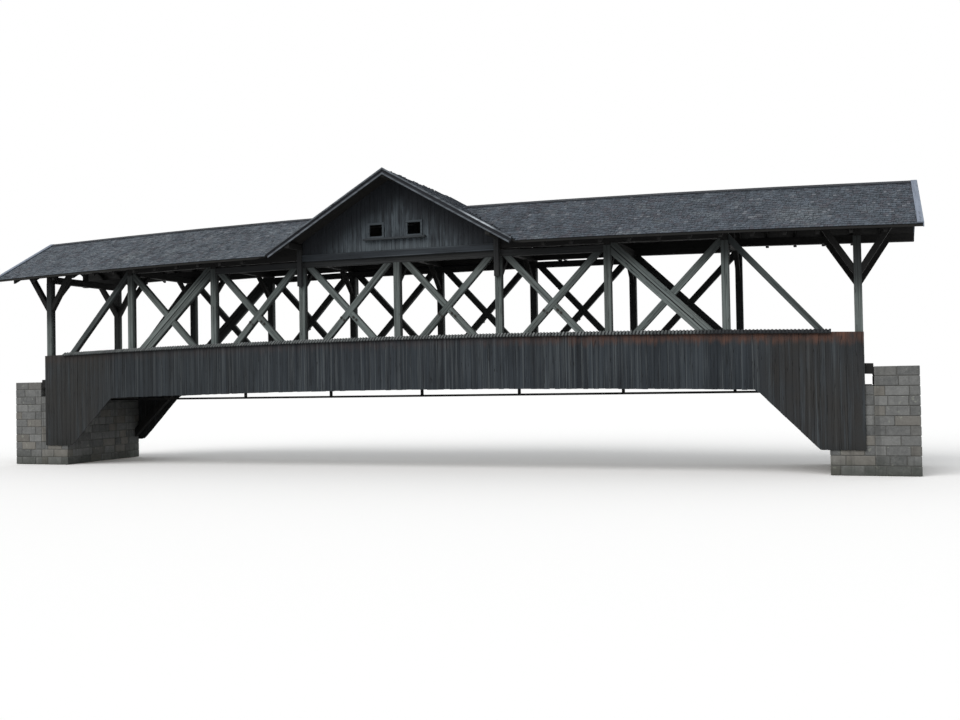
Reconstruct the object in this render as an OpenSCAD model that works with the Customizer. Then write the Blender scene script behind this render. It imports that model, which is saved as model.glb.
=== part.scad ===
// Timber covered bridge with a king-braced truss on each side, a shingled saddle roof
// and a cross gable over the middle two bays, carried by two stone abutments.
// X runs along the bridge, Y across it and Z up. The origin is at the bottom centre.

/* [Span] */
// Spacing of the truss posts
bay = 3500; // [3200:20:3800]
// Length of each end bay
end_bay = 3645; // [3400:5:3900]
// Upward bow of the whole bridge at the middle of the span
camber = 220; // [100:10:300]
// Distance between the centre lines of the two trusses
truss_w = 3760; // [3400:20:4200]
// Height of the lower edge of the side boards above the foot of the abutments
board_z = 2350; // [2000:10:3000]

/* [Floor] */
// How far the side boards hang below the floor beams
board_drop = 180; // [120:10:220]
// Depth of a floor beam
floor_d = 320; // [240:10:360]
// Width of a floor beam
floor_w = 240; // [180:10:300]
// Depth of a deck stringer
stringer_d = 160; // [120:10:180]
// Width of a deck stringer
stringer_w = 160; // [100:10:200]
// Number of deck stringers
stringers = 5; // [3:1:7]
// Thickness of the deck planks
deck_t = 60; // [40:5:80]
// Gap between the deck and the bottom chords
deck_gap = 10; // [5:5:30]
// Side of the level bar that is slung below the floor beams
bar_side = 70; // [50:5:90]
// Width of the blocks that carry the level bar
hanger_w = 90; // [60:10:120]

/* [Truss] */
// Side of the square truss posts, and width of all beams in the truss plane
post_w = 220; // [180:10:240]
// Depth of the bottom chord
chord_d = 300; // [260:10:340]
// Clear height from the bottom chord to the straining beam
truss_h = 3380; // [3100:20:3600]
// Depth of a crossing brace
brace_d = 200; // [160:10:220]
// Width of a crossing brace across the bridge
brace_w = 180; // [140:10:180]
// Depth of each of the two stacked main struts
strut_d = 185; // [150:5:200]
// Height above the bottom chord at which a main strut's centre line meets its outer post
strut_foot = 370; // [300:10:450]
// Depth of an end strut
end_strut_d = 180; // [150:10:220]
// Depth of the straining beam between the inner posts
strain_d = 200; // [160:10:240]
// Depth of a tie beam
tie_d = 240; // [200:10:280]
// Width of a tie beam
tie_w = 200; // [160:10:240]
// Open slit between the straining beam and the upper chord
slit = 60; // [40:5:90]
// Depth of the wall plate
plate_d = 250; // [200:10:300]
// Reach of a crosswise knee brace along the post and along the tie beam
knee_leg = 900; // [700:20:1000]
// Depth of a crosswise knee brace
knee_d = 140; // [100:10:160]
// Depth of a lengthwise knee brace on an end post
end_knee_d = 170; // [140:10:200]
// How far below the wall plate a lengthwise knee brace leaves its end post
end_knee_drop = 1330; // [1100:20:1500]
// Angle of a lengthwise knee brace from level
end_knee_angle = 57; // [50:1:62]

/* [Side boards] */
// Height of the parapet cap above the lower edge of the side boards
cap_z = 1770; // [1600:10:1900]
// Thickness of the rails that the boards are nailed to
rail_t = 60; // [40:5:80]
// Depth of those rails
rail_d = 120; // [80:10:140]
// Gap between the level rails and the sloping ones below them
rail_gap = 5; // [2:1:10]
// Thickness of the side boards
board_t = 30; // [20:5:40]
// How far the boards run past the centre of the end post
board_over = 125; // [115:5:160]
// Distance from the end post back to the inner end of the sloping board edge
wedge_back = 2815; // [2600:5:3000]
// Distance from the end post back to the lowest point of the sloping board edge
wedge_tip = 1095; // [1000:5:1200]
// How far the boards run down at the abutments
wedge_drop = 1640; // [1400:10:1800]
// Distance from the end post back to the end of the parapet cap
cap_short = 685; // [500:5:800]
// Pitch of the sloping parapet cap
cap_pitch = 30; // [20:1:40]
// Thickness of the parapet cap
cap_t = 35; // [25:5:50]
// How far the cap overhangs the boards
cap_over = 90; // [60:10:120]

/* [Abutments] */
// Distance from the end post back to the abutment's face
face_back = 845; // [700:5:950]
// Distance from the end post to the back wall that ends the deck
back_out = 355; // [300:5:400]
// Length of the back wall along the road
back_len = 1200; // [1000:10:1300]
// Gap between the abutment's side and the boards
side_gap = 10; // [5:1:20]
// Depth of a raking strut
rake_d = 250; // [180:10:280]
// Height of a raking strut's foot below the lower edge of the side boards
rake_foot = 1360; // [1250:10:1400]
// Distance from the abutment's face to the head of a raking strut
rake_reach = 2150; // [2000:10:2250]

/* [Main roof] */
// Pitch of the main roof
roof_pitch = 28.7; // [26:0.1:30]
// Distance from the ridge to the front eave, measured level
eave_y = 2990; // [2900:10:3200]
// How much less the roof reaches out at the back than at the front
back_short = 480; // [0:10:600]
// How far the roof runs past the end posts
roof_over = 1695; // [1500:5:1900]
// Thickness of boarding and shingles together
roof_t = 80; // [60:5:100]
// Depth of a rafter
rafter_d = 140; // [120:10:160]
// Width of a rafter
rafter_w = 100; // [80:10:120]
// Number of rafters to a bay
rafters_per_bay = 4; // [3:1:4]
// How far the rafter tails stop short of the eave
tail_gap = 90; // [60:10:120]
// Width of the seat cut in a rafter for the wall plate
seat_w = 60; // [40:5:80]
// Side of the ridge purlin and of the king posts
purlin_w = 160; // [120:10:180]
// Depth of the ridge purlin
purlin_d = 200; // [160:10:220]
// Width of the pale board that lies along each end of the roof
verge_w = 170; // [140:10:200]
// Thickness of that board
verge_t = 30; // [20:5:40]
// Depth of the board's face on the end of the roof
verge_d = 120; // [110:5:240]

/* [Cross gable] */
// How far the cross gable's roof reaches past the middle of its corner posts
cross_over = 935; // [850:5:1000]
// Pitch of the cross gable's roof
cross_pitch = 30.1; // [29:0.1:31]
// Thickness of the gable wall
wall_t = 50; // [40:5:60]
// Height of the gable base beam
base_d = 220; // [180:10:240]
// Thickness of the gable base beam
base_t = 100; // [80:10:120]
// How far the base beam laps down over the straining beam
base_lap = 20; // [10:5:40]
// Width of a gable window
window_w = 450; // [350:10:550]
// Height of a gable window
window_h = 380; // [300:10:420]
// Distance of a gable window from the middle
window_x = 680; // [550:10:800]
// Height of the window sills above the gable wall's foot
sill_h = 470; // [420:10:520]
// Width of the boards that frame a window
frame_w = 70; // [50:5:90]
// Thickness of those boards
frame_t = 30; // [20:5:40]
// Half length of the ledge below the windows
ledge_half = 1100; // [1000:20:1300]
// Depth of that ledge
ledge_d = 60; // [40:5:80]
// How far the ledge stands out from the wall
ledge_out = 150; // [100:10:180]
// Width of a corner post of the gable
corner_w = 160; // [120:10:180]
// How far a corner post runs down below the straining beam
corner_drop = 630; // [400:10:700]
// Depth of the outriggers that carry the verge
outrigger_d = 190; // [150:10:200]
// Depth of the bargeboards
barge_d = 190; // [150:10:220]
// How far the bargeboards stop short of the foot of the cross gable's roof
barge_short = 130; // [50:10:250]
// Thickness of the bargeboards
barge_t = 30; // [20:5:40]
// Depth of the upper trim on the bargeboards
trim_d = 75; // [50:5:90]
// Thickness of that trim
trim_t = 20; // [15:5:30]

/* [Hidden] */

// Everything across the bridge is counted from the truss plane
truss_y = truss_w / 2;
face_y = truss_y + post_w / 2;
board_y = face_y + rail_t;
// Posts are numbered from -last to last, with the inner ones carrying the straining beam
last = 4;
outer = 3;
inner = 2;
half_span = outer * bay + end_bay;
roof_half = half_span + roof_over;
back_eave_y = eave_y - back_short;
// The cross gable reaches as far as the front eave on both sides
verge_y = eave_y;
// A length longer and wider than the bridge, for cuts that pass right through
big = 2 * roof_half;
// How much longer than its joints a timber is drawn before they are cut
spare = 400;

// Height of the bow on its smooth curve, and along the straight timbers between posts
function arc(x) = camber * (1 - pow(x / half_span, 2));
function post_x(i) = sign(i) * (min(abs(i), outer) * bay + max(abs(i) - outer, 0) * end_bay);
stations = [for (i = [-last:last]) post_x(i)];
bow_table = concat([for (i = [0:last]) [post_x(i), arc(post_x(i))]], [[roof_half, arc(roof_half)]]);
function bow(x) = lookup(abs(x), bow_table);
// The places between two ends at which a bowed timber changes direction
function run(x0, x1) = concat([x0], [for (s = stations) if (s > x0 + 1 && s < x1 - 1) s], [x1]);
function bowed(xs, z) = [for (x = xs) [x, z + bow(x)]];
function back_to_front(list) = [for (i = [len(list) - 1:-1:0]) list[i]];

// Levels where the bow is nothing, from the foot of the abutments up
floor_z = board_z + board_drop;
chord_z = floor_z + floor_d;
chord_top = chord_z + chord_d;
deck_z = chord_z + stringer_d;
deck_top = deck_z + deck_t;
strain_z = chord_top + truss_h;
tie_z = strain_z + strain_d;
upper_z = tie_z + slit;
plate_z = tie_z + tie_d;
plate_top = plate_z + plate_d;
// The rafters bear on the plate at this distance from the centre line
bearing_y = face_y - seat_w;
ridge_z = plate_top + bearing_y * tan(roof_pitch) + (rafter_d + roof_t) / cos(roof_pitch);
purlin_top = ridge_z - (roof_t + rafter_d) / cos(roof_pitch) - purlin_w / 4 * tan(roof_pitch);
// The truss nodes: a brace's centre line meets the post's at these levels
foot_node = chord_top;
head_node = tie_z + slit * 2;

// The cross gable stands on the level part of the bow
eave_top = ridge_z + bow(bay) - eave_y * tan(roof_pitch);
cross_foot = bay + cross_over;
cross_top = eave_top + cross_foot * tan(cross_pitch);
cross_under = roof_t / cos(cross_pitch);
wall_half = bay - corner_w / 2;
wall_z = tie_z - base_lap + base_d + camber;
sill_z = wall_z + sill_h;
outrigger_top = cross_top - cross_under - (bay + corner_w / 2) * tan(cross_pitch);
outrigger_z = outrigger_top - outrigger_d;

// The cap's underside where the boards end, and the boards' top there
board_out = board_y + board_t;
board_top = board_z + cap_z - (board_out - face_y) * tan(cap_pitch) - cap_t / cos(cap_pitch);
lower_rail_z = board_z + board_drop + rail_d;
middle_rail_z = (lower_rail_z + board_top) / 2;
wedge_end = half_span + board_over;

// A timber of any length that follows the bow, from one level to another
module beam(x0, x1, z0, z1, y, w) {
    xs = run(x0, x1);
    translate([0, y, 0])
        rotate([90, 0, 0])
            linear_extrude(height = w, center = true)
                polygon(concat(bowed(xs, z0), back_to_front(bowed(xs, z1))));
}

// A straight timber between two points of the side view, drawn longer at both ends
module bar(a, b, depth, y, w, lift = 0) {
    reach = norm(b - a);
    translate([a[0], y, a[1]])
        rotate([0, -atan2(b[1] - a[1], b[0] - a[0]), 0])
            translate([-spare, -w / 2, lift - depth / 2])
                cube([reach + 2 * spare, w, depth]);
}

// A sheet that falls away from the ridge line at a pitch and follows the bow
module sloping(pitch, top, y0, y1, d0, d1, x0, x1) {
    xs = run(x0, x1);
    drop = cos(pitch);
    reach = (y1 - y0) / drop + d1;
    intersection() {
        translate([0, y0, top])
            rotate([90 - pitch, 0, 0])
                translate([0, 0, -reach])
                    linear_extrude(height = reach + spare)
                        polygon(concat(
                            [for (x = xs) [x, bow(x) * drop - d1]],
                            [for (x = back_to_front(xs)) [x, bow(x) * drop - d0]]
                        ));
        translate([x0, y0, 0])
            cube([x1 - x0, y1 - y0, big]);
    }
}

module both_sides() {
    children();
    mirror([0, 1, 0]) children();
}

module both_ends() {
    children();
    mirror([1, 0, 0]) children();
}

// Point where a brace's centre line meets the centre line of post i
function node_at(i, z) = [post_x(i), z + bow(post_x(i))];

// The clear space between post i and the next, from the bottom chord up to a level
module bay_space(i, z1, y) {
    x0 = post_x(i) + post_w / 2;
    x1 = post_x(i + 1) - post_w / 2;
    beam(x0, x1, chord_top, z1, y, big);
}

// Abutments and floor
module abutment() {
    face_x = half_span - face_back;
    back_x = half_span + back_out;
    width = 2 * (board_y - side_gap);
    top = deck_top + bow(back_x);
    difference() {
        translate([face_x, -width / 2, 0])
            cube([back_x + back_len - face_x, width, top]);
        beam(face_x - spare, back_x, floor_z, top + spare, 0, big);
    }
}

module abutment_left() {
    color("#77746c") mirror([1, 0, 0]) abutment();
}

module abutment_right() {
    color("#77746c") abutment();
}

module raking_struts() {
    face_x = half_span - face_back;
    head = [face_x - rake_reach, chord_z + bow(face_x - rake_reach)];
    foot = [face_x, board_z - rake_foot];
    color("#4d4a48")
        both_ends()
            both_sides()
                intersection() {
                    bar(head, foot, rake_d, truss_y, post_w);
                    beam(0, face_x, 0, chord_z, truss_y, big);
                }
}

module floor_beams() {
    color("#46423f")
        for (i = [-last:last])
            beam(post_x(i) - floor_w / 2, post_x(i) + floor_w / 2, floor_z, chord_z, 0, 2 * face_y);
}

module under_bar() {
    face_x = half_span - face_back;
    color("#2e2c2c")
        translate([-face_x, -bar_side / 2, board_z - bar_side / 2])
            cube([2 * face_x, bar_side, bar_side]);
}

module bar_hangers() {
    color("#34312f")
        for (i = [-outer:outer])
            beam(post_x(i) - hanger_w / 2, post_x(i) + hanger_w / 2,
                board_z + bar_side / 2 - bow(post_x(i)), floor_z, 0, bar_side);
}

module bottom_chords() {
    end_x = half_span + back_out;
    color("#504c49")
        both_sides()
            beam(-end_x, end_x, chord_z, chord_top, truss_y, post_w);
}

module deck_stringers() {
    end_x = half_span + back_out;
    side = truss_y - post_w / 2 - stringer_w;
    color("#4a4643")
        for (k = [0:stringers - 1])
            beam(-end_x, end_x, chord_z, deck_z, side * (2 * k / (stringers - 1) - 1), stringer_w);
}

module deck() {
    end_x = half_span + back_out;
    color("#6b6660")
        beam(-end_x, end_x, deck_z, deck_top, 0, truss_w - post_w - 2 * deck_gap);
}

// Trusses
module truss_posts() {
    color("#6f6f70")
        both_sides()
            for (i = [-last:last]) {
                x = post_x(i);
                top = abs(i) < inner ? strain_z : tie_z;
                beam(x - post_w / 2, x + post_w / 2, chord_top, top, truss_y, post_w);
            }
}

// The two timbers of a crossing keep one half of their width each where they meet
module rising_bar(i, y, w) {
    bar(node_at(i, foot_node), node_at(i + 1, head_node), brace_d, y, w);
}

module falling_bar(i, y, w) {
    bar(node_at(i, head_node), node_at(i + 1, foot_node), brace_d, y, w);
}

module rising_braces() {
    color("#747577")
        both_sides()
            for (i = [-inner:inner - 1])
                intersection() {
                    difference() {
                        rising_bar(i, truss_y, brace_w);
                        falling_bar(i, truss_y - brace_w / 2, brace_w);
                    }
                    bay_space(i, strain_z, truss_y);
                }
}

module falling_braces() {
    color("#7c7d7f")
        both_sides()
            for (i = [-inner:inner - 1])
                intersection() {
                    difference() {
                        falling_bar(i, truss_y, brace_w);
                        rising_bar(i, truss_y + brace_w / 2, brace_w);
                    }
                    bay_space(i, strain_z, truss_y);
                }
}

// One main strut of the stacked pair, lifted or lowered by half its depth
module main_strut(lift) {
    intersection() {
        bar(node_at(inner, head_node - slit), node_at(outer, foot_node + strut_foot),
            strut_d, truss_y, brace_w, lift);
        bay_space(inner, upper_z, truss_y);
    }
}

module counter_braces() {
    color("#68696b")
        both_ends()
            both_sides()
                difference() {
                    intersection() {
                        rising_bar(inner, truss_y, brace_w);
                        bay_space(inner, upper_z, truss_y);
                    }
                    bar(node_at(inner, head_node - slit), node_at(outer, foot_node + strut_foot),
                        2 * strut_d, truss_y, big);
                }
}

module main_struts_upper() {
    color("#8a8b8c") both_ends() both_sides() main_strut(strut_d / 2);
}

module main_struts_lower() {
    color("#858687") both_ends() both_sides() main_strut(-strut_d / 2);
}

module end_struts() {
    color("#77787a")
        both_ends()
            both_sides()
                intersection() {
                    bar(node_at(outer, head_node + slit), node_at(last, foot_node - strut_foot / 2),
                        end_strut_d, truss_y, brace_w);
                    bay_space(outer, plate_z, truss_y);
                }
}

module straining_beams() {
    end_x = inner * bay - post_w / 2;
    color("#4b4846")
        both_sides()
            beam(-end_x, end_x, strain_z, tie_z, truss_y, post_w);
}

module upper_chords() {
    color("#3d3a39")
        both_sides()
            for (i = [-outer:outer - 1])
                beam(post_x(i) + tie_w / 2, post_x(i + 1) - tie_w / 2, upper_z, plate_z, truss_y, post_w);
}

module wall_plates() {
    end_x = roof_half - verge_t;
    color("#3a3736")
        both_sides()
            beam(-end_x, end_x, plate_z, plate_top, truss_y, post_w);
}

module tie_beams() {
    color("#423f3d")
        for (i = [-last:last])
            beam(post_x(i) - tie_w / 2, post_x(i) + tie_w / 2, tie_z, plate_z, 0, 2 * face_y);
}

// A knee brace across the bridge, from the inner face of a post up to the tie beam
module crosswise_knee(i) {
    side = truss_y - post_w / 2;
    step = knee_d * sqrt(2);
    z = tie_z + bow(post_x(i));
    difference() {
        translate([post_x(i) - knee_d / 2, 0, 0])
            rotate([90, 0, 90])
                linear_extrude(height = knee_d)
                    polygon([
                        [side, z - knee_leg],
                        [side, z - knee_leg + step],
                        [side - knee_leg + step - tie_d / 2, z + tie_d / 2],
                        [side - knee_leg - tie_d / 2, z + tie_d / 2]
                    ]);
        beam(post_x(i) - tie_w / 2, post_x(i) + tie_w / 2, tie_z, plate_z, 0, 2 * face_y);
    }
}

module crosswise_knees() {
    color("#3f3c3b")
        both_sides()
            for (i = [-last:last])
                crosswise_knee(i);
}

module end_post_knees() {
    foot = [half_span, plate_z - end_knee_drop];
    reach = end_knee_drop / tan(end_knee_angle);
    color("#4a4745")
        both_ends()
            both_sides() {
                intersection() {
                    bar(foot, foot + [-reach, end_knee_drop], end_knee_d, truss_y, brace_w);
                    beam(half_span - end_bay, half_span - post_w / 2, chord_top, plate_z, truss_y, big);
                }
                intersection() {
                    bar(foot, foot + [reach, end_knee_drop], end_knee_d, truss_y, brace_w);
                    beam(half_span + post_w / 2, roof_half, chord_top, plate_z, truss_y, big);
                }
            }
}

// Side boards and parapet
module cladding_rails() {
    face_x = half_span - face_back;
    head = [face_x - rake_reach, chord_z + bow(face_x - rake_reach)];
    foot = [face_x, board_z - rake_foot];
    rail_y = face_y + rail_t / 2;
    color("#3c3937")
        both_sides() {
            for (z = [lower_rail_z - rail_d, middle_rail_z - rail_d / 2, board_top - rail_d])
                beam(-wedge_end, wedge_end, z, z + rail_d, rail_y, rail_t);
            both_ends()
                intersection() {
                    bar(head, foot, rail_d, rail_y, rail_t);
                    beam(0, face_x, 0, lower_rail_z - rail_d - rail_gap, rail_y, big);
                }
        }
}

// The upper edge follows the bow, and the lower one too, between its two sloping ends
module cladding() {
    tip_x = half_span - wedge_tip;
    start_x = half_span - wedge_back;
    low = board_z - wedge_drop;
    translate([0, board_out, 0])
        rotate([90, 0, 0])
            linear_extrude(height = board_t)
                polygon(concat(
                    [[-wedge_end, low], [-tip_x, low]],
                    bowed(run(-start_x, start_x), board_z),
                    [[tip_x, low], [wedge_end, low]],
                    back_to_front(bowed(run(-wedge_end, wedge_end), board_top))
                ));
}

module cladding_front() {
    color("#4e5152") mirror([0, 1, 0]) cladding();
}

module cladding_back() {
    color("#4e5152") cladding();
}

module parapet_caps() {
    end_x = half_span - cap_short;
    color("#8b8c8c")
        both_sides()
            sloping(cap_pitch, board_z + cap_z, face_y, board_out + cap_over, 0, cap_t, -end_x, end_x);
}

// Roof
module king_posts() {
    color("#3f3c3b")
        for (i = [-last:last])
            beam(post_x(i) - purlin_w / 2, post_x(i) + purlin_w / 2,
                plate_z, purlin_top - purlin_d, 0, purlin_w);
}

// All the space below a surface of the cross gable's roof, front to back
module under_cross(depth) {
    top = cross_top - depth / cos(cross_pitch);
    half = 2 * bay;
    low = top - half * tan(cross_pitch);
    rotate([90, 0, 0])
        linear_extrude(height = big, center = true)
            polygon([[-half, low], [0, top], [half, low], [half, chord_z], [-half, chord_z]]);
}

module rafters(eave) {
    pitch_x = bay / rafters_per_bay;
    count = floor((roof_half - verge_t - rafter_w) / pitch_x);
    difference() {
        intersection() {
            sloping(roof_pitch, ridge_z, 0, eave - tail_gap, roof_t, roof_t + rafter_d,
                -roof_half + verge_t, roof_half - verge_t);
            for (k = [-count:count])
                translate([k * pitch_x - rafter_w / 2, 0, 0])
                    cube([rafter_w, big, big]);
        }
        beam(-roof_half, roof_half, plate_z, plate_top, truss_y, post_w);
        beam(-roof_half, roof_half, purlin_top - purlin_d, purlin_top, 0, purlin_w);
        under_cross(0);
    }
}

module rafters_front() {
    color("#36332f") mirror([0, 1, 0]) rafters(eave_y);
}

module rafters_back() {
    color("#36332f") rafters(back_eave_y);
}

// One quarter of the main roof, cut off where the cross gable's roof rises out of it
module roof_quarter(eave) {
    difference() {
        sloping(roof_pitch, ridge_z, 0, eave, 0, roof_t, 0, roof_half - verge_t);
        under_cross(0);
    }
}

module main_roof_front_left() {
    color("#56545c") mirror([1, 0, 0]) mirror([0, 1, 0]) roof_quarter(eave_y);
}

module main_roof_front_right() {
    color("#56545c") mirror([0, 1, 0]) roof_quarter(eave_y);
}

module main_roof_back_left() {
    color("#56545c") mirror([1, 0, 0]) roof_quarter(back_eave_y);
}

module main_roof_back_right() {
    color("#56545c") roof_quarter(back_eave_y);
}

// Half of the cross gable's roof, down to its two valleys with the main roof
module cross_roof() {
    inside = verge_y - barge_t - trim_t;
    depth = 2 * bay * tan(roof_pitch);
    difference() {
        intersection() {
            difference() {
                under_cross(0);
                under_cross(roof_t);
            }
            translate([0, -inside, 0])
                cube([2 * bay, 2 * inside, big]);
        }
        both_sides()
            sloping(roof_pitch, ridge_z, 0, eave_y, roof_t, depth, -bay, 3 * bay);
    }
}

module cross_roof_left() {
    color("#59575f") mirror([1, 0, 0]) cross_roof();
}

module cross_roof_right() {
    color("#59575f") cross_roof();
}

// The beams under the two ridges, one along the bridge and one across it, higher up
module ridge_purlins() {
    end_x = roof_half - verge_t;
    inside = verge_y - barge_t - trim_t;
    color("#3d3a39") {
        beam(-end_x, end_x, purlin_top - purlin_d, purlin_top, 0, purlin_w);
        difference() {
            translate([-purlin_w / 2, -inside, cross_top - cross_under - purlin_d])
                cube([purlin_w, 2 * inside, purlin_d]);
            difference() {
                under_cross(0);
                under_cross(roof_t);
            }
        }
    }
}

// Gables
module gable_wall() {
    side_z = cross_top - cross_under - wall_half * tan(cross_pitch);
    translate([0, face_y + wall_t, 0])
        rotate([90, 0, 0])
            linear_extrude(height = wall_t)
                difference() {
                    polygon([
                        [-wall_half, wall_z], [wall_half, wall_z], [wall_half, side_z],
                        [0, cross_top - cross_under], [-wall_half, side_z]
                    ]);
                    for (s = [-1, 1])
                        translate([s * window_x - window_w / 2, sill_z])
                            square([window_w, window_h]);
                    translate([-purlin_w / 2, cross_top - cross_under - purlin_d])
                        square([purlin_w, purlin_d]);
                }
}

module gable_wall_front() {
    color("#3e4246") mirror([0, 1, 0]) gable_wall();
}

module gable_wall_back() {
    color("#3e4246") gable_wall();
}

module window_frames() {
    color("#6d7274")
        both_sides()
            for (s = [-1, 1])
                translate([s * window_x, face_y + wall_t + frame_t, sill_z + window_h / 2])
                    rotate([90, 0, 0])
                        linear_extrude(height = frame_t)
                            difference() {
                                square([window_w + 2 * frame_w, window_h + 2 * frame_w], center = true);
                                square([window_w, window_h], center = true);
                            }
}

module gable_ledges() {
    color("#5a5d5f")
        both_sides()
            translate([-ledge_half, face_y + wall_t, sill_z - frame_w - ledge_d])
                cube([2 * ledge_half, ledge_out, ledge_d]);
}

module gable_base_beams() {
    color("#6a6b6c")
        both_sides()
            translate([-wall_half, face_y, wall_z - base_d])
                cube([2 * wall_half, base_t, base_d]);
}

module gable_corner_posts() {
    foot_z = strain_z - corner_drop + bow(bay);
    color("#5f6061")
        both_ends()
            both_sides()
                translate([bay - corner_w / 2, face_y, foot_z])
                    cube([corner_w, corner_w, outrigger_z - foot_z]);
}

module verge_outriggers() {
    inside = verge_y - barge_t - trim_t;
    start = face_y + wall_t;
    color("#4c4a49")
        both_ends()
            both_sides()
                translate([bay - corner_w / 2, start, outrigger_z])
                    cube([corner_w, inside - start, outrigger_d]);
}

// A pair of boards under the verge, as one sheet with the apex in it and its feet cut square
module rake_sheet(depth, thickness) {
    end_x = cross_foot - barge_short;
    end_z = cross_top - end_x * tan(cross_pitch);
    low_x = end_x - depth * sin(cross_pitch);
    low_z = end_z - depth * cos(cross_pitch);
    rotate([90, 0, 0])
        linear_extrude(height = thickness)
            polygon([
                [-end_x, end_z], [0, cross_top], [end_x, end_z],
                [low_x, low_z], [0, cross_top - depth / cos(cross_pitch)], [-low_x, low_z]
            ]);
}

module bargeboards() {
    color("#77797a")
        both_sides()
            union() {
                translate([0, verge_y - trim_t, 0]) rake_sheet(barge_d, barge_t);
                translate([0, verge_y, 0]) rake_sheet(trim_d, trim_t + barge_t);
            }
}

// A pale board folded over the end of one slope of the main roof
module verge_board(eave) {
    top = ridge_z + verge_t / cos(roof_pitch);
    sloping(roof_pitch, top, 0, eave, 0, verge_t, roof_half - verge_w, roof_half);
    sloping(roof_pitch, top, 0, eave, 0, verge_d, roof_half - verge_t, roof_half);
}

module verge_boards() {
    color("#c4c3c6")
        both_ends()
            union() {
                verge_board(back_eave_y);
                mirror([0, 1, 0]) verge_board(eave_y);
            }
}

abutment_left();
abutment_right();
raking_struts();
floor_beams();
under_bar();
bar_hangers();
bottom_chords();
deck_stringers();
deck();
truss_posts();
rising_braces();
falling_braces();
counter_braces();
main_struts_upper();
main_struts_lower();
end_struts();
straining_beams();
upper_chords();
wall_plates();
tie_beams();
crosswise_knees();
end_post_knees();
cladding_rails();
cladding_front();
cladding_back();
parapet_caps();
king_posts();
ridge_purlins();
rafters_front();
rafters_back();
main_roof_front_left();
main_roof_front_right();
main_roof_back_left();
main_roof_back_right();
cross_roof_left();
cross_roof_right();
gable_wall_front();
gable_wall_back();
window_frames();
gable_ledges();
gable_base_beams();
gable_corner_posts();
verge_outriggers();
bargeboards();
verge_boards();
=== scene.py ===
import math
import random

import bmesh
import bpy
import numpy as np
from mathutils import Matrix, Vector
from mathutils.bvhtree import BVHTree


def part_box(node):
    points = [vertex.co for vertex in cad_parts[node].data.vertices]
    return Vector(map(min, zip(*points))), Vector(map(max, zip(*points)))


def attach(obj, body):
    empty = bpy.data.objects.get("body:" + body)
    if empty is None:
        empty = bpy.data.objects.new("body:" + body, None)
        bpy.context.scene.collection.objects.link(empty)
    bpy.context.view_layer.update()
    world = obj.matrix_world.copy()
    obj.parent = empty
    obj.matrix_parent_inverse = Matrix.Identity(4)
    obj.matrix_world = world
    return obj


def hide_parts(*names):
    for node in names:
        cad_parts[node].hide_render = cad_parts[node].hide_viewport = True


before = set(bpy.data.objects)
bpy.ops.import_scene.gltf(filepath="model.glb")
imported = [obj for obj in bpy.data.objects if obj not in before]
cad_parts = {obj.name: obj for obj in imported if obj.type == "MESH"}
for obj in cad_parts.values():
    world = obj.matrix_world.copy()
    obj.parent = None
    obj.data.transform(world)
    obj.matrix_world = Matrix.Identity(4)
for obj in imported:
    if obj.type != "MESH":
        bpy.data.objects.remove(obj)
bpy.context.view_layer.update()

# Camera. It stands low in front of the bridge, 31 m away and to the right of its middle, and
# looks a little to the left. Its place was fitted to the posts, the eaves and the ridge.
scene = bpy.context.scene
scene.view_settings.view_transform = "Standard"
picture_w = 960
focal_px = 1050.4
sensor_mm = 36
eye = (14.1264, -33.2406, 2.8605)
yaw = 0.3463
pitch = 0.0189
roll = 0.0172
ahead = Vector((-math.sin(yaw) * math.cos(pitch),
                math.cos(yaw) * math.cos(pitch),
                math.sin(pitch)))
level = Vector((math.cos(yaw), math.sin(yaw), 0))
upright = level.cross(ahead)
right = math.cos(roll) * level - math.sin(roll) * upright
up = math.sin(roll) * level + math.cos(roll) * upright
lens = bpy.data.cameras.new("camera")
lens.sensor_width = sensor_mm
lens.lens = focal_px * sensor_mm / picture_w
lens.clip_end = 500
camera = bpy.data.objects.new("camera", lens)
facing = Matrix((right, up, -ahead)).transposed().to_4x4()
camera.matrix_world = Matrix.Translation(eye) @ facing
scene.collection.objects.link(camera)
scene.camera = camera


# Floor, light and background. A plain pale floor with white all round it, which lights the bridge
# softly from every side, and one broad lamp in front for the shape of the timbers.
class Tree:
    """A node tree in the making. add() takes a node's type, its settings and its sockets."""

    def __init__(self, tree):
        self.tree = tree

    def add(self, kind, settings=None, sockets=None):
        node = self.tree.nodes.new(kind)
        for key, value in (settings or {}).items():
            setattr(node, key, value)
        for key, value in (sockets or {}).items():
            value = getattr(value, "socket", value)
            if isinstance(value, bpy.types.NodeSocket):
                self.tree.links.new(value, node.inputs[key])
            else:
                node.inputs[key].default_value = value
        return node


def flat_white(tree, shown, bounced, end):
    """Shows one shader to the camera and to glossy rays, and lights the object with another."""
    path = tree.add("ShaderNodeLightPath")
    seen = tree.add("ShaderNodeMath", {"operation": "MAXIMUM"},
                    {0: path.outputs["Is Camera Ray"], 1: path.outputs["Is Glossy Ray"]})
    mixed = tree.add("ShaderNodeMixShader", None, {
        0: seen.outputs[0], 1: bounced.outputs[0], 2: shown.outputs[0]})
    tree.tree.links.new(mixed.outputs[0], tree.tree.nodes[end].inputs["Surface"])


world = bpy.data.worlds.new("surround")
world.use_nodes = True
scene.world = world
surround = Tree(world.node_tree)
soft_light = surround.add("ShaderNodeBackground", None,
                          {"Color": (0.93, 0.97, 1.0, 1), "Strength": 0.68})
plain_white = surround.add("ShaderNodeBackground", None, {"Color": (1, 1, 1, 1), "Strength": 1.0})
flat_white(surround, plain_white, soft_light, "World Output")

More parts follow.
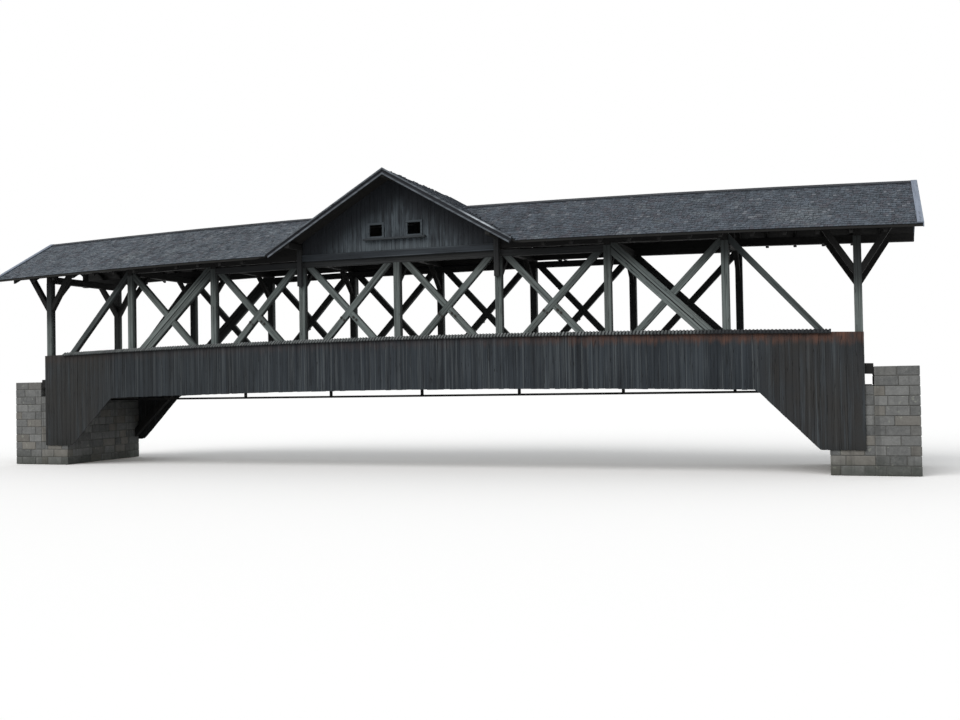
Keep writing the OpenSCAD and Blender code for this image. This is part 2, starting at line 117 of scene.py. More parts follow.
sun = bpy.data.lights.new("lamp", "SUN")
sun.energy = 1.6
sun.angle = math.radians(50)
lamp = bpy.data.objects.new("lamp", sun)
lamp.rotation_euler = Vector((-0.45, -0.75, 0.75)).to_track_quat("Z", "Y").to_euler()
scene.collection.objects.link(lamp)

floor_reach = 400
floor_level = -0.002
floor_mesh = bpy.data.meshes.new("floor")
floor_mesh.from_pydata([(x * floor_reach, y * floor_reach, floor_level)
                        for x, y in ((-1, -1), (1, -1), (1, 1), (-1, 1))],
                       [], [(0, 1, 2, 3)])
floor = bpy.data.objects.new("floor", floor_mesh)
scene.collection.objects.link(floor)
floor_paint = bpy.data.materials.new("floor")
floor_paint.use_nodes = True
pale = Tree(floor_paint.node_tree)
pale_lit = pale.add("ShaderNodeBsdfDiffuse", None, {"Color": (1.0, 0.98, 0.965, 1)})
pale_lift = pale.add("ShaderNodeEmission", None,
                     {"Color": (1.0, 0.9, 0.75, 1), "Strength": 0.045})
pale_seen = pale.add("ShaderNodeAddShader", None,
                     {0: pale_lit.outputs[0], 1: pale_lift.outputs[0]})
pale_dull = pale.add("ShaderNodeBsdfDiffuse", None, {"Color": (0.30, 0.30, 0.30, 1)})
flat_white(pale, pale_seen, pale_dull, "Material Output")
floor_mesh.materials.append(floor_paint)


# Abutments. Squared grey stone in level courses round a core of rubble and mortar, with the bridge
# seat cut down behind the face and the back wall left standing to hold the end of the road.
class Value:
    """A number in a shader. Sums and products of values add their Math nodes."""

    def __init__(self, finish, socket):
        self.finish = finish
        self.socket = socket

    def maths(self, operation, *others):
        sockets = dict(enumerate((self, *others)))
        node = self.finish.add("ShaderNodeMath", {"operation": operation}, sockets)
        return Value(self.finish, node.outputs[0])

    def __add__(self, other):
        return self.maths("ADD", other)

    def __sub__(self, other):
        return self.maths("SUBTRACT", other)

    def __rsub__(self, other):
        node = self.finish.add("ShaderNodeMath", {"operation": "SUBTRACT"}, {0: other, 1: self})
        return Value(self.finish, node.outputs[0])

    def __mul__(self, other):
        return self.maths("MULTIPLY", other)

    __radd__ = __add__
    __rmul__ = __mul__

    def size(self):
        return self.maths("ABSOLUTE")

    def step(self, low, high):
        """0 below low, 1 above high and smooth between; falling if low is above high."""
        node = self.finish.add("ShaderNodeMapRange", {"interpolation_type": "SMOOTHSTEP"},
                               {"Value": self, "From Min": low, "From Max": high})
        return Value(self.finish, node.outputs["Result"])


class Finish(Tree):
    """One procedural material, in the object's own metres, with a tint for each stick or stone."""

    def __init__(self, name):
        self.material = bpy.data.materials.new(name)
        self.material.use_nodes = True
        super().__init__(self.material.node_tree)
        self.shader = self.tree.nodes["Principled BSDF"]
        self.shader.inputs["Specular IOR Level"].default_value = 0.25
        place = self.add("ShaderNodeTexCoord").outputs["Object"]
        axes = self.add("ShaderNodeSeparateXYZ", None, {0: place})
        self.x, self.y, self.z = (Value(self, axes.outputs[i]) for i in range(3))
        tint = self.add("ShaderNodeAttribute", {"attribute_name": "tint"})
        self.tint = Value(self, tint.outputs["Fac"])

    def vector(self, x, y, z):
        return self.add("ShaderNodeCombineXYZ", None, {0: x, 1: y, 2: z}).outputs[0]

    def place(self, x, y, z, stray=0):
        """The object's own place, each axis scaled, and shifted from stone to stone by stray."""
        depth = self.z * z + self.tint * stray if stray else self.z * z
        return self.vector(self.x * x, self.y * y, depth)

    def noise(self, vector, detail=3, roughness=0.55):
        node = self.add("ShaderNodeTexNoise", None, {
            "Vector": vector, "Scale": 1, "Detail": detail, "Roughness": roughness})
        return Value(self, node.outputs["Fac"])

    def mix(self, factor, first, second):
        sockets = {0: factor}
        for index, colour in ((6, first), (7, second)):
            sockets[index] = (*colour, 1) if isinstance(colour, tuple) else colour
        return self.add("ShaderNodeMix", {"data_type": "RGBA"}, sockets).outputs[2]

    def put(self, colour, roughness, height, depth):
        """Colour and roughness, and a relief of the given depth in metres."""
        bump = self.add("ShaderNodeBump", None,
                        {"Height": height, "Distance": depth, "Strength": 0.8})
        for name, value in (("Base Color", colour), ("Roughness", roughness),
                            ("Normal", bump.outputs[0])):
            self.tree.links.new(getattr(value, "socket", value), self.shader.inputs[name])
        return self.material


def masonry():
    """Split grey stone, warmer or cooler from block to block, with lichen, and damp at the foot."""
    stone = Finish("grey_stone")
    grain = stone.noise(stone.place(30, 30, 30), detail=5)
    split = stone.noise(stone.place(9, 9, 9, 20), 4, 0.6)
    cloud = stone.noise(stone.place(2.5, 2.5, 3, 40))
    lichen = stone.noise(stone.place(7, 7, 7), 5, 0.7).step(0.60, 0.68)
    run_off = stone.noise(stone.place(6, 6, 0.4)).step(0.52, 0.68)
    damp = (stone.z + cloud * 0.5).step(0.9, 0.2)
    tone = stone.tint * 0.4 + grain * 0.4 + split * 0.5 + cloud * 0.3 - 0.35
    hue = (stone.tint * 13.7).maths("FRACT")
    colour = stone.mix(tone, (0.075, 0.077, 0.076), (0.340, 0.335, 0.320))
    colour = stone.mix(hue.step(0.6, 1.0) * 0.45, colour, (0.215, 0.185, 0.145))
    colour = stone.mix(lichen * 0.5, colour, (0.36, 0.37, 0.31))
    colour = stone.mix(run_off * 0.4, colour, (0.055, 0.056, 0.052))
    colour = stone.mix(damp * 0.6, colour, (0.045, 0.052, 0.038))
    return stone.put(colour, grain * 0.2 + 0.75, grain * 0.3 + split * 0.7, 0.022)


def mortar_bed():
    """Lime mortar in the joints, set back from the faces of the stones."""
    lime = Finish("mortar")
    grain = lime.noise(lime.place(60, 60, 60), detail=4)
    cloud = lime.noise(lime.place(3, 3, 3))
    colour = lime.mix(grain * 0.7 + cloud * 0.3, (0.06, 0.058, 0.052), (0.20, 0.195, 0.18))
    return lime.put(colour, grain * 0.1 + 0.85, grain, 0.006)


repeat = Tree(bpy.data.node_groups.new("repeat", "GeometryNodeTree"))
ports = {}
for label, kind in (("Places", "Geometry"), ("Stamp", "Object"), ("Shift", "Vector"),
                    ("Turn", "Vector"), ("Seed", "Int"), ("Finish", "Material")):
    port = repeat.tree.interface.new_socket(label, in_out="INPUT",
                                            socket_type="NodeSocket" + kind)
    ports[label] = port.identifier
repeat.tree.interface.new_socket("Pieces", in_out="OUTPUT", socket_type="NodeSocketGeometry")
given = repeat.add("NodeGroupInput").outputs


def chance(kind, low, high, seed_shift):
    """A random value for each place, of the tree's own seed."""
    seed = repeat.add("FunctionNodeIntegerMath", {"operation": "ADD"},
                      {0: given["Seed"], 1: seed_shift})
    socket, result = (0, 0) if kind == "FLOAT_VECTOR" else (2, 1)
    node = repeat.add("FunctionNodeRandomValue", {"data_type": kind},
                      {socket: low, socket + 1: high, "Seed": seed.outputs[0]})
    return node.outputs[result]


def about_zero(socket, seed_shift):
    """A random vector between minus a socket's value and that value."""
    minus = repeat.add("ShaderNodeVectorMath", {"operation": "SCALE"}, {0: socket, "Scale": -1})
    return chance("FLOAT_VECTOR", minus.outputs[0], socket, seed_shift)


def stored(name):
    node = repeat.add("GeometryNodeInputNamedAttribute", {"data_type": "FLOAT_VECTOR"},
                      {"Name": name})
    return node.outputs[0]


stamp = repeat.add("GeometryNodeObjectInfo", None, {"Object": given["Stamp"]})
moved = repeat.add("GeometryNodeSetPosition", None, {
    "Geometry": given["Places"], "Offset": about_zero(given["Shift"], 0)})
angles = repeat.add("ShaderNodeVectorMath", {"operation": "ADD"},
                    {0: stored("turn"), 1: about_zero(given["Turn"], 1)})
turned = repeat.add("FunctionNodeEulerToRotation", None, {0: angles.outputs[0]})
copies = repeat.add("GeometryNodeInstanceOnPoints", None, {
    "Points": moved.outputs[0], "Instance": stamp.outputs["Geometry"],
    "Rotation": turned.outputs[0], "Scale": stored("size")})
tinted = repeat.add("GeometryNodeStoreNamedAttribute",
                    {"data_type": "FLOAT", "domain": "INSTANCE"},
                    {"Geometry": copies.outputs[0], "Name": "tint",
                     "Value": chance("FLOAT", 0.0, 1.0, 2)})
real = repeat.add("GeometryNodeRealizeInstances", None, {"Geometry": tinted.outputs[0]})
named = repeat.add("GeometryNodeSetMaterial", None,
                   {"Geometry": real.outputs[0], "Material": given["Finish"]})
repeat.add("NodeGroupOutput", None, {0: named.outputs[0]})

eight_corners = [(x, y, z) for z in (0, 1) for y in (0, 1) for x in (0, 1)]
six_sides = [(0, 2, 3, 1), (4, 5, 7, 6), (0, 1, 5, 4), (2, 6, 7, 3), (0, 4, 6, 2), (1, 3, 7, 5)]


def six_sided(corners):
    """A stamp to repeat, in units of the size that each place gives."""
    mesh = bpy.data.meshes.new("stamp")
    mesh.from_pydata(corners, [], six_sides)
    return bpy.data.objects.new("stamp", mesh)


def linked(name, mesh):
    piece = bpy.data.objects.new(name, mesh)
    scene.collection.objects.link(piece)
    return piece


def modified(piece):
    """The plain mesh that a piece's modifiers give."""
    view = bpy.context.evaluated_depsgraph_get()
    return bpy.data.meshes.new_from_object(piece.evaluated_get(view), depsgraph=view)


def spread(name, thing, places, finish, seed,
           shift=(0, 0, 0), turn=(0, 0, 0), edge=0, shape=None):
    """Copies of a stamp on all places, each (centre, size, turn), as one plain mesh."""
    points = bpy.data.meshes.new(name)
    points.from_pydata([p[0] for p in places], [], [])
    for label, index in (("size", 1), ("turn", 2)):
        column = points.attributes.new(label, "FLOAT_VECTOR", "POINT")
        column.data.foreach_set("vector", np.array([p[index] for p in places], np.float32).ravel())
    holder = linked(name + "_places", points)
    maker = holder.modifiers.new("repeat", "NODES")
    maker.node_group = repeat.tree
    for label, value in (("Stamp", thing), ("Shift", shift), ("Turn", turn), ("Seed", seed),
                         ("Finish", finish)):
        maker[ports[label]] = value
    if edge:
        rounding = holder.modifiers.new("edge", "BEVEL")
        rounding.width = edge
        rounding.segments = 1
        rounding.limit_method = "ANGLE"
    mesh = modified(holder)
    bpy.data.objects.remove(holder)
    mesh.name = name
    if shape:
        corners = np.zeros(len(mesh.vertices) * 3)
        mesh.vertices.foreach_get("co", corners)
        mesh.vertices.foreach_set("co", shape(corners.reshape(-1, 3)).ravel())
        mesh.update()
    return linked(name, mesh)


def settle(piece, slot, *nodes):
    """Hangs a finished piece on the root body and hides the nodes it stands for. Slot is not used.
    """
    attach(piece, "root")
    if nodes:
        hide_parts(*nodes)
    return piece


def box_of(node):
    low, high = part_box(node)
    return np.array(low), np.array(high)


def merged(node):
    """A node's solids as a mesh to work on, with each corner there only once."""
    bm = bmesh.new()
    bm.from_mesh(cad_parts[node].data)
    bmesh.ops.remove_doubles(bm, verts=bm.verts, dist=1e-5)
    bmesh.ops.recalc_face_normals(bm, faces=bm.faces)
    return bm


def worked(bm, name, finish):
    """The piece that a mesh becomes once the work on it is done."""
    mesh = bpy.data.meshes.new(name)
    bm.to_mesh(mesh)
    bm.free()
    mesh.materials.append(finish)
    return linked(name, mesh)


def core(node, inset, finish):
    """A copy of a node drawn in by a little on every side."""
    bm = merged(node)
    for corner in bm.verts:
        pull = [0, 0, 0]
        for face in corner.link_faces:
            for axis in range(3):
                if abs(face.normal[axis]) > 0.9:
                    pull[axis] = -math.copysign(inset, face.normal[axis])
        corner.co += Vector(pull)
    return worked(bm, node + "_core", finish)


block = six_sided([(x - 0.5, y - 0.5, z - 0.5) for x, y, z in eight_corners])
no_turn = (0, 0, 0)
dice = random.Random(11)
course_h = 0.29
stone_l = 0.58
stone_d = 0.28
stone_set_back = 0.012
joint = 0.018
mortar_set_back = 0.02
back_wall_l = 1.2


def cut_up(low, high):
    """Cuts a course into stones of uneven length."""
    cut = [low]
    while cut[-1] < high - 1.4 * stone_l:
        cut.append(cut[-1] + stone_l * dice.uniform(0.6, 1.3))
    return list(zip(cut, cut[1:] + [high]))


def wall_of_stones(low, high, places):
    """Courses of stones round a block of wall, and a top course of slabs right over it."""
    courses = max(1, round((high[2] - low[2]) / course_h))
    step = (high[2] - low[2]) / courses
    for k in range(courses - 1):
        z = low[2] + (k + 0.5) * step
        for along, across in ((0, 1), (1, 0)):
            lead = 0 if (k + along) % 2 else stone_d
            for a, b in cut_up(low[along] + lead, high[along] - lead):
                for middle in (low[across] + stone_d / 2, high[across] - stone_d / 2):
                    centre, size = [0, 0, z], [0, 0, step - joint]
                    centre[along], size[along] = (a + b) / 2, b - a - joint
                    depth = stone_d - dice.uniform(0, stone_set_back)
                    centre[across], size[across] = middle, depth
                    places.append((tuple(centre), tuple(size), no_turn))
    slab_l = (high[0] - low[0]) / 2
    for k in (0, 1):
        for a, b in cut_up(low[1], high[1]):
            places.append(((low[0] + (k + 0.5) * slab_l, (a + b) / 2, high[2] - step / 2),
                           (slab_l - joint, b - a - joint, step - joint), no_turn))


grey_stone = masonry()
mortar = mortar_bed()
seat_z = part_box("floor_beams")[0][2]
for side, inner in (("left", 1), ("right", -1)):
    node = "abutment_" + side
    low, high = box_of(node)
    face_x = high[0] if inner > 0 else low[0]
    deck_end = -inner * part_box("deck")[1][0]
    back_x = deck_end - inner * back_wall_l
    places = []
    for ends, top in (((face_x, deck_end), seat_z), ((deck_end, back_x), high[2])):
        wall_of_stones((min(ends), low[1], low[2]), (max(ends), high[1], top), places)
    stones = spread("stones_" + side, block, places, grey_stone, 5,
                    turn=(0.004, 0.004, 0.004), edge=0.012)
    settle(stones, "stone", node)
    settle(core(node, mortar_set_back, mortar), "stone")


# Floor of the bridge. Sawn floor beams and stringers, dark with age and painted near black for the
# shade under the bridge, carry loose planks laid across, which are greyer and worn paler along the
# middle, where the traffic goes.
class Wood(Finish):
    """Bare weathered timber. Along and across are metres on a stick, from its grain attribute or
    from two axes."""

    def __init__(self, name, along=None, across=None):
        super().__init__(name)
        if along:
            self.along, self.across = getattr(self, along), getattr(self, across)
        else:
            grain = self.add("ShaderNodeAttribute", {"attribute_name": "grain"})
            axes = self.add("ShaderNodeSeparateXYZ", None, {0: grain.outputs["Vector"]})
            self.along, self.across = (Value(self, axes.outputs[i]) for i in range(2))
        self.fibre = self.drawn_out(1.3, 46, 61, 4, 0.6).step(0.3, 0.7)
        self.streak = self.drawn_out(0.4, 10, 37, 2).step(0.3, 0.7)
        self.patch = self.noise(self.place(0.5, 0.8, 0.7)).step(0.3, 0.7)
        line = self.drawn_out(0.5, 15, 83, 1) - 0.5
        self.crack = line.size().step(0.016, 0.004) * self.streak.step(0.9, 0.35)
        self.tone = (self.fibre * 0.28 + self.streak * 0.34 + self.tint * 0.22
                     + self.patch * 0.16)

    def drawn_out(self, along, across, stray, detail, roughness=0.55):
        """A noise stretched along the stick, and another one on each stick."""
        where = self.vector(self.along * along, self.across * across, self.tint * stray)
        return self.noise(where, detail, roughness)

    def bow(self):
        """How far the cambered bridge has come down at x from its level at the middle."""
        return self.x * self.x * 0.00113

    def weather(self, colour, depth=0.004):
        colour = self.mix(self.crack * 0.75, colour, (0.006, 0.006, 0.006))
        height = self.fibre * 0.4 + self.streak * 0.3 - self.crack * 0.8
        return self.put(colour, self.fibre * 0.12 + 0.74, height, depth)


def plain_wood(name, dark, light, *axes):
    """Timber between two colours, with no more to it than its grain."""
    wood = Wood(name, *axes)
    return wood.weather(wood.mix(wood.tone, dark, light))


def loose_parts(bm):
    """The separate sticks of a mesh, each as a list of its corners, in the mesh's own order."""
    bm.verts.index_update()
    reached, parts = set(), []
    for first in bm.verts:
        if first.index in reached:
            continue
        reached.add(first.index)
        part = [first]
        for corner in part:
            for side in corner.link_edges:
                other = side.other_vert(corner)
                if other.index not in reached:
                    reached.add(other.index)
                    part.append(other)
        parts.append(part)
    return parts


def middle_of(part):
    return sum((corner.co for corner in part), Vector()) / len(part)


def stick_grain(bm):
    """Writes on each stick of a mesh how far along and across it each corner lies, and its tint."""
    grain = bm.loops.layers.float_vector.new("grain")
    tint = bm.faces.layers.float.new("tint")
    ring_stretch = 35
    for part in loose_parts(bm):
        stick = dict.fromkeys(face for corner in part for face in corner.link_faces)
        centre = middle_of(part)
        longest = max((side for face in stick for side in face.edges),
                      key=lambda side: side.calc_length())
        way = (longest.verts[1].co - longest.verts[0].co).normalized()
        way *= math.copysign(1, way.x + way.y + way.z)
        cross = way.orthogonal()
        mark = round(centre.x * 12.99 + centre.y * 78.23 + centre.z * 37.72, 1)
        shade = math.sin(mark) * 43758.5 % 1
        for face in stick:
            face[tint] = shade
            end_grain = abs(face.normal.dot(way)) > 0.7
            over = cross if end_grain else face.normal.cross(way).normalized()
            run = way.cross(cross) * ring_stretch if end_grain else way
            for corner in face.loops:
                arm = corner.vert.co - centre
                corner[grain] = (arm.dot(run), arm.dot(over), 0)


def dress(node, finish, slot, edge=0.007):
    """A copy of a node's timbers with their edges taken off, each with its own grain and tint."""
    bm = merged(node)
    bmesh.ops.dissolve_limit(bm, angle_limit=math.radians(0.5), verts=bm.verts, edges=bm.edges)
    sharp = [side for side in bm.edges
             if len(side.link_faces) == 2 and side.calc_face_angle() > math.radians(20)]
    bmesh.ops.bevel(bm, geom=sharp, offset=edge, segments=1, affect="EDGES", clamp_overlap=True)
    bm.normal_update()
    stick_grain(bm)
    return settle(worked(bm, node + "_timber", finish), slot, node)


# Dark old wood painted near black: painted shade for the timbers inside, under the bridge and under
# the roof.
shaded_timber = plain_wood("shaded_timber", (0.0035, 0.0035, 0.0035), (0.0185, 0.018, 0.017))
for node in ("raking_struts", "floor_beams", "bottom_chords", "deck_stringers"):
    dress(node, shaded_timber, "dark_timber")
for node in ("under_bar", "bar_hangers"):
    dress(node, shaded_timber, "dark_timber", 0.003)


def plank_finish():
    """Grey planks, paler and smoother in the middle of the road."""
    wood = Wood("plank", "y", "x")
    worn = wood.y.size().step(1.5, 0.5)
    colour = wood.mix(wood.tone, (0.045, 0.042, 0.036), (0.19, 0.18, 0.16))
    colour = wood.mix(worn * wood.streak * 0.4, colour, (0.26, 0.25, 0.23))
    return wood.weather(colour)


def row(low, high, least, most):
    """Cuts a length into boards of uneven width."""
    cuts = [low]
    while cuts[-1] < high - 1.5 * most:
        cuts.append(cuts[-1] + dice.uniform(least, most))
    left = max(1, round((high - cuts[-1]) / most))
    for k in range(left, 0, -1):
        cuts.append(cuts[-1] + (high - cuts[-1]) / k)
    return list(zip(cuts, cuts[1:]))


deep_down, high_up = -1, 20


def solid_of(node):
    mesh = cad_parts[node].data
    return BVHTree.FromPolygons([v.co for v in mesh.vertices], [p.vertices for p in mesh.polygons])


def heights(node, xs, y):
    """Lowest and highest level of a node over each x, at one y."""
    solid = solid_of(node)
    under = [solid.ray_cast((x, y, deep_down), (0, 0, 1))[0] for x in xs]
    over = [solid.ray_cast((x, y, high_up), (0, 0, -1))[0] for x in xs]
    return np.array([p.z for p in under]), np.array([p.z for p in over])


def stations_of(node):
    """Stations about 50 mm apart along a node, from just inside one end to the other."""
    low, high = box_of(node)
    return np.linspace(low[0] + 0.002, high[0] - 0.002, int((high[0] - low[0]) / 0.05))


def follow(xs, levels):
    """Lifts a piece made level to the levels given along x."""
    def shape(corners):
        corners[:, 2] += np.interp(corners[:, 0], xs, levels)
        return corners
    return shape


plank_w = (0.19, 0.23)
plank_gap = 0.003
uneven_end = 0.03
low, high = box_of("deck")
stations = stations_of("deck")
under, over = heights("deck", stations, 0.0)
plank_t = over[0] - under[0]
planks = []
for a, b in row(low[0], high[0], *plank_w):
    plank_l = high[1] - low[1] - dice.uniform(0, uneven_end)
    planks.append((((a + b) / 2, 0, plank_t / 2), (b - a - plank_gap, plank_l, plank_t), no_turn))
deck_planks = spread("deck_planks", block, planks, plank_finish(), 7,
                     shift=(0, 0.01, 0), edge=0.006, shape=follow(stations, under))
settle(deck_planks, "deck_planks", "deck")


# Trusses and the frames over them. Squared softwood, silver grey and split along the middle where
# rain and sun reach it, painted almost black on the inner faces and under the roof for the shade
# there.
def truss_finish(name, dark, light, seam=None):
    """Timber with weathered outer faces, long drying cracks, and painted shade on the inner faces
    and under the roof. A seam is the plane between two stacked timbers, as its normal's x and z and
    its distance."""
    wood = Wood(name)
    # Inner faces painted near black: painted shade for the inside of the bridge, where little light
    # reaches.
    inner = wood.y.size().step(1.95, 1.80)
    wander = wood.noise(wood.vector(wood.along * 0.7, wood.tint * 53, 0), 2) * 0.09 - 0.045
    split = wood.noise(wood.vector(wood.along * 0.55, wood.tint * 91, 3), 1).step(0.42, 0.5)
    middle = (wood.across + wander).size().step(0.009, 0.003) * split
    wood.crack = wood.crack.maths("MAXIMUM", middle)
    if seam:
        off = wood.x.size() * seam[0] + wood.z * seam[1] - seam[2]
        wood.crack = wood.crack.maths("MAXIMUM", off.size().step(0.020, 0.011) * 1.3)
    colour = wood.mix(wood.tone, dark, light)
    colour = wood.mix(wood.patch * 0.30, colour, (0.065, 0.060, 0.048))
    # Painted shade: darker towards the top, under the roof, and on the end frames above the knees.
    painted_roof_shade = (wood.z + wood.bow()).step(6.15, 6.75)
    end_frame_shade = wood.x.size().step(13.3, 13.9) * wood.z.step(4.9, 5.7)
    painted_roof_shade = painted_roof_shade.maths("MAXIMUM", end_frame_shade * 1.4)
    colour = wood.mix(painted_roof_shade * 0.6, colour, (0.018, 0.019, 0.020))
    colour = wood.mix(inner * 0.88, colour, (0.006, 0.006, 0.006))
    return wood.weather(colour, 0.006)


silver_timber = truss_finish("silver_timber", (0.048, 0.056, 0.053), (0.262, 0.300, 0.288))
sloping = [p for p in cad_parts["main_struts_lower"].data.polygons
           if min(p.normal.x, p.normal.z) > 0.2]
upper_face = max((p for p in sloping if p.center.x > 0), key=lambda p: p.area)
strut_seam = (upper_face.normal.x, upper_face.normal.z, upper_face.normal.dot(upper_face.center))
strut_timber = truss_finish("strut_timber", (0.070, 0.082, 0.079), (0.310, 0.350, 0.336),
                            strut_seam)
end_timber = truss_finish("end_timber", (0.022, 0.027, 0.027), (0.125, 0.148, 0.148))
# Dark for the straining beams and the gable's corner posts; on the straining beams under the eaves
# this is partly painted shade.
beam_timber = truss_finish("beam_timber", (0.008, 0.009, 0.010), (0.047, 0.050, 0.052))
for node in ("truss_posts", "rising_braces", "falling_braces", "counter_braces"):
    dress(node, silver_timber, "truss_timber", 0.008)
dress("end_struts", end_timber, "truss_timber", 0.008)
for node in ("main_struts_upper", "main_struts_lower"):
    dress(node, strut_timber, "truss_timber", 0.010)
dress("straining_beams", beam_timber, "dark_timber")
for node in ("upper_chords", "wall_plates", "tie_beams", "crosswise_knees", "end_post_knees"):
    dress(node, shaded_timber, "dark_timber")


# Bolts. Two pairs of a square washer and a six-sided nut on each crossing, where the braces are
# bolted through. Forged iron, dull with a thin brown rust.
def iron_finish():
    metal = Finish("rusted_iron")
    rust = metal.noise(metal.place(60, 60, 60, 9), 4)
    colour = metal.mix(rust, (0.016, 0.016, 0.016), (0.070, 0.060, 0.051))
    return metal.put(colour, rust * 0.2 + 0.65, rust, 0.001)


def middles(node):
    """The middle of each timber of a node, from left to right."""
    bm = merged(node)
    found = [middle_of(timber) for timber in loose_parts(bm)]
    bm.free()
    return sorted(found, key=lambda p: (round(p.x, 2), p.y))


washer_w, washer_t = 0.075, 0.006
nut_w, nut_t = 0.040, 0.020
bolt_x, bolt_z = 0.055, 0.045
nut = bmesh.new()
bmesh.ops.create_cone(nut, segments=6, radius1=0.5, radius2=0.5, depth=1, cap_ends=True)
nut_mesh = bpy.data.meshes.new("nut")
nut.to_mesh(nut_mesh)
nut.free()
nut_stamp = bpy.data.objects.new("nut", nut_mesh)
iron = iron_finish()
truss_face = box_of("truss_posts")[1][1]
washers, nuts = [], []
for centre in middles("rising_braces") + middles("falling_braces"):
    out = math.copysign(1, centre.y)
    for way in (-1, 1):
        x, z = centre.x + way * bolt_x, centre.z - way * bolt_z
        washers.append(((x, out * (truss_face + washer_t / 2), z),
                        (washer_w, washer_t, washer_w), (0, math.pi / 4, 0)))
        nuts.append(((x, out * (truss_face + washer_t + nut_t / 2), z),
                     (nut_w, nut_w, nut_t), (math.pi / 2, 0, 0)))
settle(spread("brace_washers", block, washers, iron, 25, turn=(0, 0.15, 0), edge=0.001),
       "dark_timber")
settle(spread("brace_nuts", nut_stamp, nuts, iron, 26, turn=(0, 0, 0.5)), "dark_timber")


# Parapet boarding. Rough upright boards about 0.19 m wide with open joints, nailed to rails, blue
# grey in the rain and still red brown in the strip that the cap keeps dry.
def side_board_finish():
    wood = Wood("side_board", "z", "x")
    right_side = wood.x.step(1.5, 9.5)
    end_part = wood.x.size().step(10.8, 12.0)
    rise = wood.noise(wood.vector(wood.x * 5.3, wood.tint * 31, 0), 2)
    dry = (wood.z + rise * 0.5 + wood.bow()).step(4.10, 4.34)
    broad = wood.noise(wood.vector(wood.x * 1.4, wood.z * 0.3, 7), 2).step(0.35, 0.65)
    tone = wood.tone * 0.65 + wood.tint * 0.15 + broad * 0.2
    bleached = wood.noise(wood.vector(wood.x * 8.5, wood.z * 0.35, wood.tint * 3))
    bleached = bleached.step(0.50, 0.66)
    colour = wood.mix(tone, (0.004, 0.005, 0.007), (0.050, 0.060, 0.070))
    line = wood.noise(wood.vector(wood.x * 19, wood.z * 0.12, wood.tint * 5), 2).step(0.57, 0.66)
    pale_part = (bleached * (wood.fibre * 0.45 + 0.1)).maths("MAXIMUM", line * 0.7)
    colour = wood.mix(pale_part, colour, (0.096, 0.106, 0.111))
    brown_part = end_part * (wood.patch * 0.4 + 0.35) * (1 - bleached * 0.7)
    colour = wood.mix(brown_part, colour, (0.034, 0.030, 0.026))
    worn = wood.noise(wood.vector(wood.x * 3.1, wood.z * 2, 2)).step(0.25, 0.6)
    red = wood.mix(wood.fibre * 0.6 + wood.tint * 0.4,
                   (0.042, 0.029, 0.026), (0.170, 0.082, 0.056))
    colour = wood.mix(dry * (right_side * 0.8 + 0.15) * (worn * 0.75 + 0.25), colour, red)
    damp = (wood.z + wood.patch * 0.6).step(1.5, 0.8)
    shaded_left = wood.x.step(-2.0, -9.0)
    colour = wood.mix(damp * 0.5 + shaded_left * 0.28, colour, (0.014, 0.015, 0.013))
    return wood.weather(colour, 0.005)


def even_tint(mesh):
    """Gives the corners that a cut has made the tint of the board they are on."""
    bm = bmesh.new()
    bm.from_mesh(mesh)
    tint = bm.verts.layers.float["tint"]
    for board in loose_parts(bm):
        shade = max(corner[tint] for corner in board)
        for corner in board:
            corner[tint] = shade
    bm.to_mesh(mesh)
    bm.free()


open_joint = (0.002, 0.007)
board_play = 0.005
backing_inset = 0.012
lower_edge_h = 0.1


def boarding(name, node, finish, slot, widths, seed, ragged=0, depth=1, holes=None):
    """Upright boards side by side over a node's whole outline, on the outer part of its thickness,
    with a thin sheet behind their open joints."""
    low, high = box_of(node)
    xs = stations_of(node)
    y = (low[1] + high[1]) / 2
    under, over = heights(node, xs, y)
    thick = (high[1] - low[1]) * depth
    outer = high[1] - thick / 2 if y > 0 else low[1] + thick / 2
    places = []
    for a, b in row(low[0], high[0], *widths):
        lift = dice.uniform(0, ragged)
        gap = dice.uniform(*open_joint)
        places.append((((a + b) / 2, outer, (1 + lift) / 2),
                       (b - a - gap, thick - board_play, 1 - lift), no_turn))

    def shape(corners):
        """A board's lower half goes to the node's lower edge, its upper half to the upper one."""
        bottom = np.interp(corners[:, 0], xs, under)
        top = np.interp(corners[:, 0], xs, over) - 1
        corners[:, 2] += np.where(corners[:, 2] < 0.5, bottom, top)
        return corners

    piece = spread(name, block, places, finish, seed, shift=(0, 0.002, 0), edge=0.004, shape=shape)
    if holes:
        cutter = spread(name + "_holes", block, holes, finish, seed)
        opened = piece.modifiers.new("openings", "BOOLEAN")
        opened.object = cutter
        opened.solver = "EXACT"
        mesh = modified(piece)
        piece.modifiers.clear()
        piece.data = mesh
        bpy.data.objects.remove(cutter)
        even_tint(mesh)
    settle(piece, slot, node)
    backing = core(node, backing_inset, finish)
    for corner in backing.data.vertices:
        if corner.co.z < np.interp(corner.co.x, xs, under) + lower_edge_h:
            corner.co.z += ragged
    settle(backing, slot)


side_board = side_board_finish()
for face, seed in (("front", 21), ("back", 22)):
    boarding("side_boards_" + face, "cladding_" + face, side_board, "side_boards",
             (0.16, 0.21), seed, ragged=0.014)
dress("cladding_rails", shaded_timber, "dark_timber", 0.005)


# Parapet cap. Short cross boards laid side by side down the slope of the cap, every second one
# set lower and painted dark for its shade, so that light and dark strokes alternate along it.
def cap_finish(name, dark, light):
    wood = Wood(name, "y", "x")
    shade = wood.x.step(9.0, 10.3)
    colour = wood.mix(wood.tone, dark, light)
    colour = wood.mix(shade * 0.9, colour, (0.020, 0.021, 0.024))
    return wood.weather(colour, 0.003)


